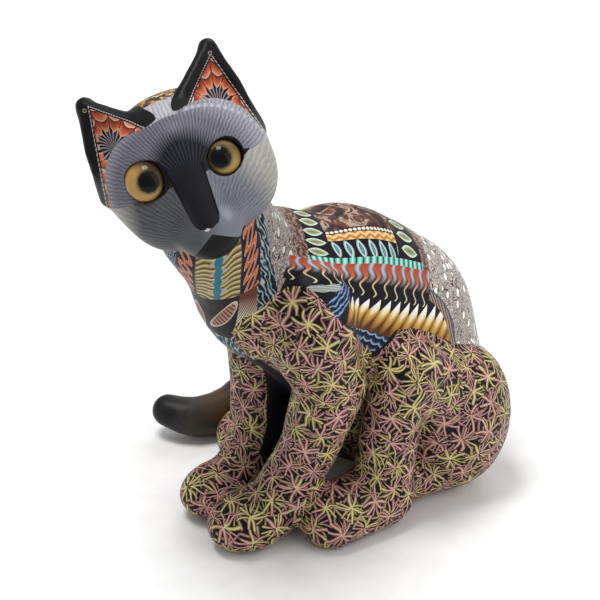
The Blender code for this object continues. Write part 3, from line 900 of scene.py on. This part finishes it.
def patterned_clay():
    """Polymer clay covered with slices: saddle, neck and tail, with woven slices on the legs."""
    clay, tree, shader = finish_named(
        "patterned polymer clay", CLAY_ROUGHNESS, IOR=1.5, Specular_IOR_Level=CLAY_SHEEN
    )
    add = functools.partial(put, tree)
    clay_skin(add, shader)
    colour = neck_bands(add, saddle(add))

    # Past the trim line the torso below, between the legs, is painted near-black as shade.
    belly_shade = add("Attribute", attribute_name="belly_shade_edge", out="Fac")
    colour = add("Mix RGBA", add("Math GREATER_THAN", belly_shade, 0.0), colour, "1C1A20")
    woven = add("Attribute", attribute_name="weave_edge", out="Fac")
    colour = add("Mix RGBA", add("Math GREATER_THAN", woven, 0.0), colour, star_weave(add))

    # The tail runs from a charcoal tip through brown streaks to black at the leg.
    run = add("Attribute", attribute_name="tail_run", out="Fac")
    streaks = add("TexNoise", add("TexCoord", out="Object"), Scale=260.0, Detail=3.0)
    run = add("Math MULTIPLY_ADD", streaks, 14.0, run)
    furred = add(
        "ValToRGB", add("MapRange", run, 93.0, 124.0),
        stops=(
            (0.0, "0E0C0C"), (0.15, "2E2019"), (0.35, "4A3728"), (0.6, "3A3732"), (0.8, "262626"),
            (1.0, "1A1A1C"),
        ),
    )
    tail = add("Attribute", attribute_name="tail_edge", out="Fac")
    colour = add("Mix RGBA", add("Math GREATER_THAN", tail, 0.0), colour, furred)

    # A line of painted shadow lies in the crease under the head, and the soles are plain.
    edge = add("Attribute", attribute_name="head_edge", out="Fac")
    colour = add("Mix RGBA", add("Math GREATER_THAN", edge, -0.9), colour, "1A1A1E")
    sole = add("Attribute", attribute_name="sole_edge", out="Fac")
    colour = add("Mix RGBA", add("Math GREATER_THAN", sole, 0.0), colour, "2A2428")
    tree.links.new(colour, shader.inputs["Base Color"])
    return clay


# The head: slices of combed grey clay laid as fur, with a charcoal bar down the nose.
# The ears have plain black rims and a lining of red petals, and the clay has the body's finish.

BROW_HAIRS = 38.0
MASK_HAIRS = 20.0
CHEEK_HAIRS = 30.0
LIDS = ((-10.9, 3.0, 5.4), (-9.5, 3.0, 5.3), (11.2, 1.0, 4.9), (12.1, 1.4, 4.8))
PETAL_TURN = 0.24
RIM_HALF_WIDTH = 1.95


def brow_fur(add, x, z, wander, soft):
    """Pale hairs that fan up from the bridge of the nose, and a dark triangle between the eyes.

    It also gives the run of the hairs, from 0 between two of them to 1 on one.
    """
    from_bridge = add("CombineXYZ", add("Math SUBTRACT", x, 0.8), add("Math ADD", z, 3.0))
    height = add("VectorMath LENGTH", from_bridge, out="Value")
    fan_x, fan_z, _ = parts_of(add, from_bridge)
    fan = add("Math ARCTAN2", fan_x, fan_z)
    crinkle = add("Math SINE", add("Math MULTIPLY", height, 3.1))
    crinkle = add("Math MULTIPLY_ADD", crinkle, 0.003, fan)
    crinkle = add("Math MULTIPLY_ADD", wander, 0.045, crinkle)
    fine_hair = add("Math PINGPONG", add("Math MULTIPLY", crinkle, BROW_HAIRS), 1.0)
    coarse_hair = add("Math PINGPONG", add("Math MULTIPLY", crinkle, MASK_HAIRS), 1.0)
    triangle = add("Math MULTIPLY_ADD", add("Math ABSOLUTE", fan), 3.2, height)
    brow = add("MapRange", triangle, 13.0, 17.2)
    hair = add("Mix FLOAT", add("Math GREATER_THAN", brow, 0.0), coarse_hair, fine_hair)
    hair = add("Mix FLOAT", add("Math MULTIPLY", soft, brow), hair, 0.5)
    upper = add("MapRange", add("Math MULTIPLY_ADD", fan, 1.6, height), 18.5, 24.0)
    dark_hair = add("Mix RGBA", upper, "36353E", "62626B")
    dark_hair = add("Mix RGBA", brow, "08080C", dark_hair)
    pale_hair = add("Mix RGBA", upper, "7C7B86", "AFAEB6")
    pale_hair = add("Mix RGBA", brow, "2E2F39", pale_hair)
    return add("Mix RGBA", hair, dark_hair, pale_hair), hair


def cheek_fur(add, colour, place, x, z, side, out, wander, soft):
    """Hairs that spread from the mouth, darker on the cat's right and cream at the edges."""
    spread = add("Math ARCTAN2", x, add("Math ADD", z, 19.0))
    spread = add("Math MULTIPLY_ADD", wander, 0.09, spread)
    strand = add("Math PINGPONG", add("Math MULTIPLY", spread, CHEEK_HAIRS), 1.0)
    strand = add("Mix FLOAT", soft, strand, 0.5)
    left_cheek = add("MapRange", x, -3.0, 4.0)
    dark_strand = add("Mix RGBA", left_cheek, "343538", "565861")
    pale_strand = add("Mix RGBA", left_cheek, "626366", "888B95")
    cheek = add("Mix RGBA", strand, dark_strand, pale_strand)
    spot = add("VectorMath DISTANCE", place, (7.0, -21.5, -12.0), out="Value")
    cheek = add("Mix RGBA", add("MapRange", spot, 3.2, 0.8), cheek, "9A9CA4")
    cream = add("Mix RGBA", strand, "898781", "B2AFA8")
    edge_start = add("MapRange", side, -1.0, 1.0, 15.5, 12.5)
    creamy = add("Math SUBTRACT", out, edge_start)
    below_eye = add("Math MINIMUM", add("Math ADD", z, 5.0), 0.0)
    creamy = add("Math MULTIPLY_ADD", below_eye, 0.35, creamy)
    cheek = add("Mix RGBA", add("MapRange", creamy, 0.0, 6.5), cheek, cream)
    brow_end = add("Math MULTIPLY_ADD", add("Math MULTIPLY", x, x), -0.002, -0.5)
    brow_end = add("Math MULTIPLY_ADD", x, 0.05, brow_end)
    on_cheek = add("Math LESS_THAN", z, brow_end)
    return add("Mix RGBA", on_cheek, colour, cheek)


def nose_and_mouth(add, colour, place, x, z, out, on_front):
    """The bar of the nose, rounded at its end and seamed down its sides, a small pale mark and the
    chin.
    """
    down_bar = add("Math MINIMUM", add("Math MAXIMUM", z, -10.4), 6.0)
    from_bar = add("CombineXYZ", add("Math SUBTRACT", x, 0.35), add("Math SUBTRACT", z, down_bar))
    bar = add("VectorMath LENGTH", from_bar, out="Value")
    bar = add("Math SUBTRACT", bar, add("Math MULTIPLY_ADD", down_bar, 0.085, 4.58))
    grain = add("TexNoise", place, Scale=2.6, Detail=2.0)
    charcoal = add("Mix RGBA", grain, "0B0B0F", "1F1F27")
    charcoal = add("Mix RGBA", add("MapRange", z, 0.2, 5.0), charcoal, colour)
    on_bar = add("Math MULTIPLY", add("Math LESS_THAN", bar, 0.0), add("Math LESS_THAN", z, 6.0))
    colour = add("Mix RGBA", add("Math MULTIPLY", on_front, on_bar), colour, charcoal)
    seam = add("Math COMPARE", bar, 0.0, 0.28)
    seam = add("Math MULTIPLY", seam, add("Math COMPARE", z, -5.5, 8.0))
    colour = add("Mix RGBA", add("Math MULTIPLY", on_front, seam), colour, "09090B")

    # A small pale mark shows under the end of the nose.
    pale_mark = add("Math MULTIPLY", add("Math ABSOLUTE", add("Math ADD", x, 0.4)), 0.5)
    pale_mark = add("Math ADD", pale_mark, add("Math ABSOLUTE", add("Math ADD", z, 14.0)))
    on_pale_mark = add("Math MULTIPLY", on_front, add("Math LESS_THAN", pale_mark, 0.5))
    colour = add("Mix RGBA", on_pale_mark, colour, "C6C4C2")

    # The chin, nearly black, in a wedge under the nose.
    wedge = add("Math ABSOLUTE", add("Math SUBTRACT", x, 0.3))
    wedge = add("Math MULTIPLY_ADD", wedge, 0.72, z)
    on_chin = add("Math LESS_THAN", wedge, -15.7)
    on_chin = add("Math MULTIPLY", on_chin, add("Math LESS_THAN", out, 7.2))
    chin = add("Mix RGBA", grain, "030304", "0A0A0C")
    return add("Mix RGBA", add("Math MULTIPLY", on_front, on_chin), colour, chin)


def eye_lids(add, colour, x, z, on_front):
    """Dark lids that ring the eyes, and draw out to a point at the cat's left."""
    for lid_x, lid_z, radius in LIDS:
        across = add("Math SUBTRACT", x, lid_x)
        up = add("Math SUBTRACT", z, lid_z)
        from_lid = add("VectorMath LENGTH", add("CombineXYZ", across, up), out="Value")
        lid = add("Math MULTIPLY", on_front, add("Math LESS_THAN", from_lid, radius))
        colour = add("Mix RGBA", lid, colour, "120F0F")
    corner = add("Math DIVIDE", add("Math ABSOLUTE", add("Math SUBTRACT", x, 16.2)), 2.4)
    corner = add("Math ADD", corner, add("Math ABSOLUTE", add("Math SUBTRACT", z, 0.1)))
    return add("Mix RGBA", add("Math LESS_THAN", corner, 1.0), colour, "120F0F")


def head_cap(add, colour, place, x, y, z, out, hair):
    """A cap of gold and dark chips on the back of the head, with a pale crinkled edge."""
    chips = add("TexVoronoi", place, Scale=0.85, out="Color")
    chips = add(
        "ValToRGB", parts_of(add, chips)[0],
        stops=(
            (0.0, "2A2422"), (0.22, "B98A4C"), (0.42, "7A5230"), (0.58, "CDB684"), (0.8, "3A4048"),
        ),
    )
    chips.node.color_ramp.interpolation = "CONSTANT"
    cap = add("Math LESS_THAN", out, 9.5)
    cap = add("Math MULTIPLY", cap, add("Math GREATER_THAN", z, -8.0))
    cap_front = add("Math MULTIPLY_ADD", add("Math PINGPONG", x, 0.9), 1.3, y)
    crest = add("Math MULTIPLY", add("Math COMPARE", y, -8.0, 4.2), add("Math LESS_THAN", out, 4.2))
    crest = add("Math MULTIPLY", crest, add("MapRange", z, 14.5, 17.0))
    colour = add("Mix RGBA", crest, colour, add("Mix RGBA", hair, "85858D", "C4C3C8"))
    on_cap = add("Math MULTIPLY", cap, add("Math GREATER_THAN", cap_front, -4.2))
    return add("Mix RGBA", on_cap, colour, chips)


def ear_lining(add, z, out, inside):
    """Rows of red petals round a dark fan with pale rays, inside a stitched line."""
    fan_at = add("CombineXYZ", add("Math SUBTRACT", out, 15.3), add("Math SUBTRACT", z, 13.3))
    ear_x, ear_z, _ = parts_of(add, fan_at)
    round_fan = add("Math ARCTAN2", ear_x, ear_z)
    ray = add("Math PINGPONG", add("Math MULTIPLY", round_fan, 7.0), 1.0)
    dark_fan = add("ValToRGB", ray, stops=((0.4, "131216"), (0.7, "57545C"), (0.9, "A09698")))
    petal = add("Math ABSOLUTE", add("Math WRAP", round_fan, PETAL_TURN, -PETAL_TURN))
    petal = add("Math DIVIDE", petal, PETAL_TURN)
    from_fan = add("VectorMath LENGTH", fan_at, out="Value")
    depth = add("Math MULTIPLY_ADD", add("Math MULTIPLY", petal, petal), -1.6, from_fan)
    layer = add("Math FRACT", add("Math MULTIPLY", depth, 0.3))
    red = add(
        "ValToRGB", layer,
        stops=(
            (0.0, "D8C0B4"), (0.12, "D08A68"), (0.4, "B85C3C"), (0.7, "96442C"), (0.95, "55241A"),
        ),
    )
    red = add("Mix RGBA", add("Math GREATER_THAN", petal, 0.88), red, "7A2C1E")
    lining = add("Mix RGBA", add("Math LESS_THAN", depth, 3.6), red, dark_fan)
    lining = add("Mix RGBA", add("Math LESS_THAN", inside, 0.8), lining, "101013")
    stitch = add("Math PINGPONG", add("Math ADD", out, z), 0.5)
    stitch = add("Mix RGBA", add("Math GREATER_THAN", stitch, 0.14), "17161A", "A6A4A2")
    return add("Mix RGBA", add("Math COMPARE", inside, 0.3, 0.14), lining, stitch)


def ears(add, colour, x, z, side, out):
    """Black rims and backs, with the lining inside and an eyelet in each tip."""
    polar = add("Math ARCTAN2", out, z)
    base = add("Math MULTIPLY_ADD", side, 0.35, 15.15)
    base = add("Math MULTIPLY_ADD", polar, add("Math MULTIPLY_ADD", side, 0.58, 5.15), base)
    from_axis = add("VectorMath LENGTH", add("CombineXYZ", x, z), out="Value")
    above_base = add("Math SUBTRACT", from_axis, base)
    inner = add("Math MULTIPLY_ADD", z, -0.781, 8.38)
    inner = add("Math MULTIPLY_ADD", out, 0.624, inner)
    inner = add("Math ADD", inner, add("MapRange", side, -1.0, 1.0, 0.7, 0.0))
    outer = add("Math MULTIPLY_ADD", z, -0.217, 24.27)
    outer = add("Math MULTIPLY_ADD", out, -0.976, outer)
    outer = add("Math SUBTRACT", outer, add("MapRange", side, -1.0, 1.0, 1.5, 0.0))
    inside = add("Math MINIMUM", inner, outer)
    front = add("Attribute", attribute_name="ear_front", out="Fac")
    front = add("Math GREATER_THAN", front, -0.1)
    gap = add("Attribute", attribute_name="ear_gap", out="Fac")
    on_ear = add("Math LESS_THAN", gap, add("MapRange", side, -1.0, 1.0, 5.0, 4.4))
    short = add("Math MULTIPLY_ADD", z, -0.624, add("MapRange", side, -1.0, 1.0, 13.4, 14.9))
    short = add("Math MAXIMUM", add("Math MULTIPLY_ADD", out, -0.781, short), 0.0)
    rounded = add("CombineXYZ", short, add("Math ADD", inner, RIM_HALF_WIDTH))
    rounded = add("VectorMath LENGTH", rounded, out="Value")
    rounded = add("Math LESS_THAN", rounded, RIM_HALF_WIDTH)
    outer_rim = add("Math GREATER_THAN", inner, 0.0)
    outer_rim = add("Math MULTIPLY", outer_rim, add("Math LESS_THAN", outer, 0.0))
    outer_rim = add("Math MULTIPLY", outer_rim, add("Math GREATER_THAN", above_base, -0.9))
    on_rim = add("Math MAXIMUM", rounded, outer_rim)
    colour = add("Mix RGBA", add("Math MULTIPLY", on_ear, on_rim), colour, "121215")

    # The lining lies on the front of each ear, inside its rim.
    in_ear = add("Math MULTIPLY", front, add("Math GREATER_THAN", above_base, 0.0))
    in_ear = add("Math MULTIPLY", in_ear, add("Math GREATER_THAN", inside, -0.1))
    in_ear = add("Math MULTIPLY", in_ear, on_ear)
    colour = add("Mix RGBA", in_ear, colour, ear_lining(add, z, out, inside))

    # A crinkled pale edge runs under the left ear, and an eyelet sits in the tip of each.
    crinkled = add("Math COMPARE", above_base, -0.4, 0.4)
    crinkled = add("Math MULTIPLY", crinkled, add("Math GREATER_THAN", x, 0.0))
    crinkled = add("Math MULTIPLY", crinkled, add("Math GREATER_THAN", inside, -0.5))
    crinkled = add("Math MULTIPLY", crinkled, add("Math LESS_THAN", gap, 8.0))
    teeth = add("Math PINGPONG", add("Math MULTIPLY", polar, 22.0), 1.0)
    teeth = add("Mix RGBA", teeth, "83848D", "AFAEB3")
    colour = add("Mix RGBA", crinkled, colour, teeth)
    eyelet = add("Math SUBTRACT", z, add("MapRange", side, -1.0, 1.0, 24.4, 25.8))
    eyelet = add("CombineXYZ", add("Math SUBTRACT", out, 18.8), eyelet)
    eyelet = add("VectorMath LENGTH", eyelet, out="Value")
    brass = add("Mix RGBA", add("Math LESS_THAN", eyelet, 0.3), "8A7658", "17161A")
    on_eyelet = add("Math MULTIPLY", front, add("Math LESS_THAN", eyelet, 0.6))
    return add("Mix RGBA", on_eyelet, colour, brass)


def furred_face():
    """Polymer clay in combed slices: grey fur, a charcoal mask, and petals inside the ears."""
    clay, tree, shader = finish_named(
        "combed polymer clay", CLAY_ROUGHNESS, IOR=1.5, Specular_IOR_Level=CLAY_SHEEN
    )
    add = functools.partial(put, tree)
    clay_skin(add, shader)
    place = chart(add, HEAD_CENTRE, HEAD_TURN.to_euler())
    x, y, z = parts_of(add, place)
    side = add("Math SIGN", x)
    out = add("Math ABSOLUTE", x)
    wander = add("TexNoise", place, Scale=0.35, Detail=2.0)
    wander = add("Math SUBTRACT", wander, 0.5)
    soft = add("MapRange", add("TexNoise", place, Scale=0.8, Detail=2.0), 0.38, 0.62, 0.75, 0.1)
    colour, hair = brow_fur(add, x, z, wander, soft)
    colour = cheek_fur(add, colour, place, x, z, side, out, wander, soft)
    on_front = add("Math LESS_THAN", y, -8.0)
    colour = nose_and_mouth(add, colour, place, x, z, out, on_front)
    colour = eye_lids(add, colour, x, z, on_front)
    colour = head_cap(add, colour, place, x, y, z, out, hair)
    colour = ears(add, colour, x, z, side, out)

    # The crease under the jaw has a painted shadow, as on the neck that it meets.
    edge = add("Attribute", attribute_name="head_edge", out="Fac")
    colour = add("Mix RGBA", add("Math LESS_THAN", edge, 0.9), colour, "1A1A1E")
    tree.links.new(colour, shader.inputs["Base Color"])
    return clay


skin.materials.clear()
skin.materials.append(patterned_clay())
skin.materials.append(furred_face())
on_head = head_edge[corners_of(skin)].mean(axis=1) > 0
skin.polygons.foreach_set("material_index", on_head.astype(np.int32))
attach(cat, "root")
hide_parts("cat_body")


# The eyes: two domes of clear glass over painted amber irises, set in the lids.
# Each is a flat-backed button of glass, ground round, and shines like water.

EYE_RADII = {1: 4.9, -1: 5.5}
EYE_PLACES = {1: Vector((11.1, -16.8, 0.7)), -1: Vector((-11.1, -16.8, 2.9))}
EYE_SPLAY = math.radians(20)
EYE_LEAN = math.radians(86)
EYE_DOME = 3.2
EYE_BACK = 1.6
PUPIL_PLACES = {1: Vector((10.2, 1.6)), -1: Vector((-9.9, 3.0))}
# The way across each eye in which the painted shadow of the lid deepens.
LID_SHADOW_SLANT = Vector((0.8, 0.6))


def glass_button(radius, steps=10):
    """A dome with a short straight rim and a flat back, in millimetres, +Z out of the head."""
    curve = (radius**2 + EYE_DOME**2) / (2 * EYE_DOME)
    widest = math.asin(radius / curve)
    turns = [widest * i / steps for i in range(steps + 1)]
    profile = [
        (curve * math.sin(turn), curve * math.cos(turn) - curve + EYE_DOME) for turn in turns
    ]
    profile += [(radius, -EYE_BACK), (0, -EYE_BACK)]
    button = bmesh.new()
    line = [button.verts.new((across, 0, up)) for across, up in profile]
    edges = [button.edges.new(pair) for pair in zip(line, line[1:])]
    bmesh.ops.spin(
        button, geom=line + edges, cent=(0, 0, 0), axis=(0, 0, 1), dvec=(0, 0, 0),
        angle=math.tau, steps=48, use_merge=True, use_duplicate=False,
    )
    bmesh.ops.remove_doubles(button, verts=button.verts, dist=1e-4)
    bmesh.ops.recalc_face_normals(button, faces=button.faces)
    return button


def amber_glass():
    """A painted amber iris and a wide black pupil under clear polished glass, with a painted lid
    shadow across the top.
    """
    glass, tree, shader = finish_named(
        "painted glass", 0.4, IOR=1.5, Specular_IOR_Level=0.05, Coat_Weight=0.28,
        Coat_Roughness=0.06, Coat_IOR=1.5,
    )
    add = functools.partial(put, tree)
    across = add("Attribute", attribute_name="from_pupil", out="Fac")
    fibres = add("TexNoise", add("TexCoord", out="Object"), Scale=1100.0, Detail=2.0)
    across = add("Math MULTIPLY_ADD", add("Math SUBTRACT", fibres, 0.5), 0.7, across)
    iris = add(
        "ValToRGB", add("MapRange", across, 0.0, 8.0),
        stops=(
            (0.0, "010102"), (0.31, "040404"), (0.35, "2A2118"), (0.4, "75603C"), (0.47, "A08850"),
            (0.68, "B0843F"), (0.88, "A86E30"), (1.0, "6E4A28"),
        ),
    )
    # A painted shadow of the lid darkens the iris toward its top and the cat's left.
    shade = add("Attribute", attribute_name="lid_shadow", out="Fac")
    iris = add("Mix RGBA", add("MapRange", shade, 0.8, 4.6, 0.0, 0.9), iris, "170F0B")
    rim = add("Attribute", attribute_name="to_rim", out="Fac")
    iris = add("Mix RGBA", add("MapRange", rim, 0.0, 0.9), "33200F", iris)
    tree.links.new(iris, shader.inputs["Base Color"])
    return glass


amber = amber_glass()
head_place = Matrix.Translation((Vector(MIDDLE) + HEAD_CENTRE) / 1000) @ HEAD_TURN.to_4x4()
for side, name in ((1, "left_eye"), (-1, "right_eye")):
    button = glass_button(EYE_RADII[side])
    to_rim = [EYE_RADII[side] - v.co.xy.length for v in button.verts]
    settle = Matrix.Translation(EYE_PLACES[side]) @ Matrix.Rotation(side * EYE_SPLAY, 4, "Z")
    settle = settle @ Matrix.Rotation(EYE_LEAN, 4, "X")
    bmesh.ops.transform(button, matrix=settle, verts=button.verts)
    from_pupil = [(v.co.xz - PUPIL_PLACES[side]).length for v in button.verts]
    lid_shadow = [(v.co - EYE_PLACES[side]).xz.dot(LID_SHADOW_SLANT) for v in button.verts]
    bmesh.ops.transform(button, matrix=head_place @ Matrix.Scale(0.001, 4), verts=button.verts)
    mesh = bpy.data.meshes.new(name + "_glass")
    button.to_mesh(mesh)
    button.free()
    mesh.polygons.foreach_set("use_smooth", np.ones(len(mesh.polygons), bool))
    store(mesh, "from_pupil", from_pupil)
    store(mesh, "to_rim", to_rim)
    store(mesh, "lid_shadow", lid_shadow)
    mesh.materials.append(amber)
    eye = bpy.data.objects.new(name + "_glass", mesh)
    bpy.context.scene.collection.objects.link(eye)
    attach(eye, "root")
    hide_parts(name)
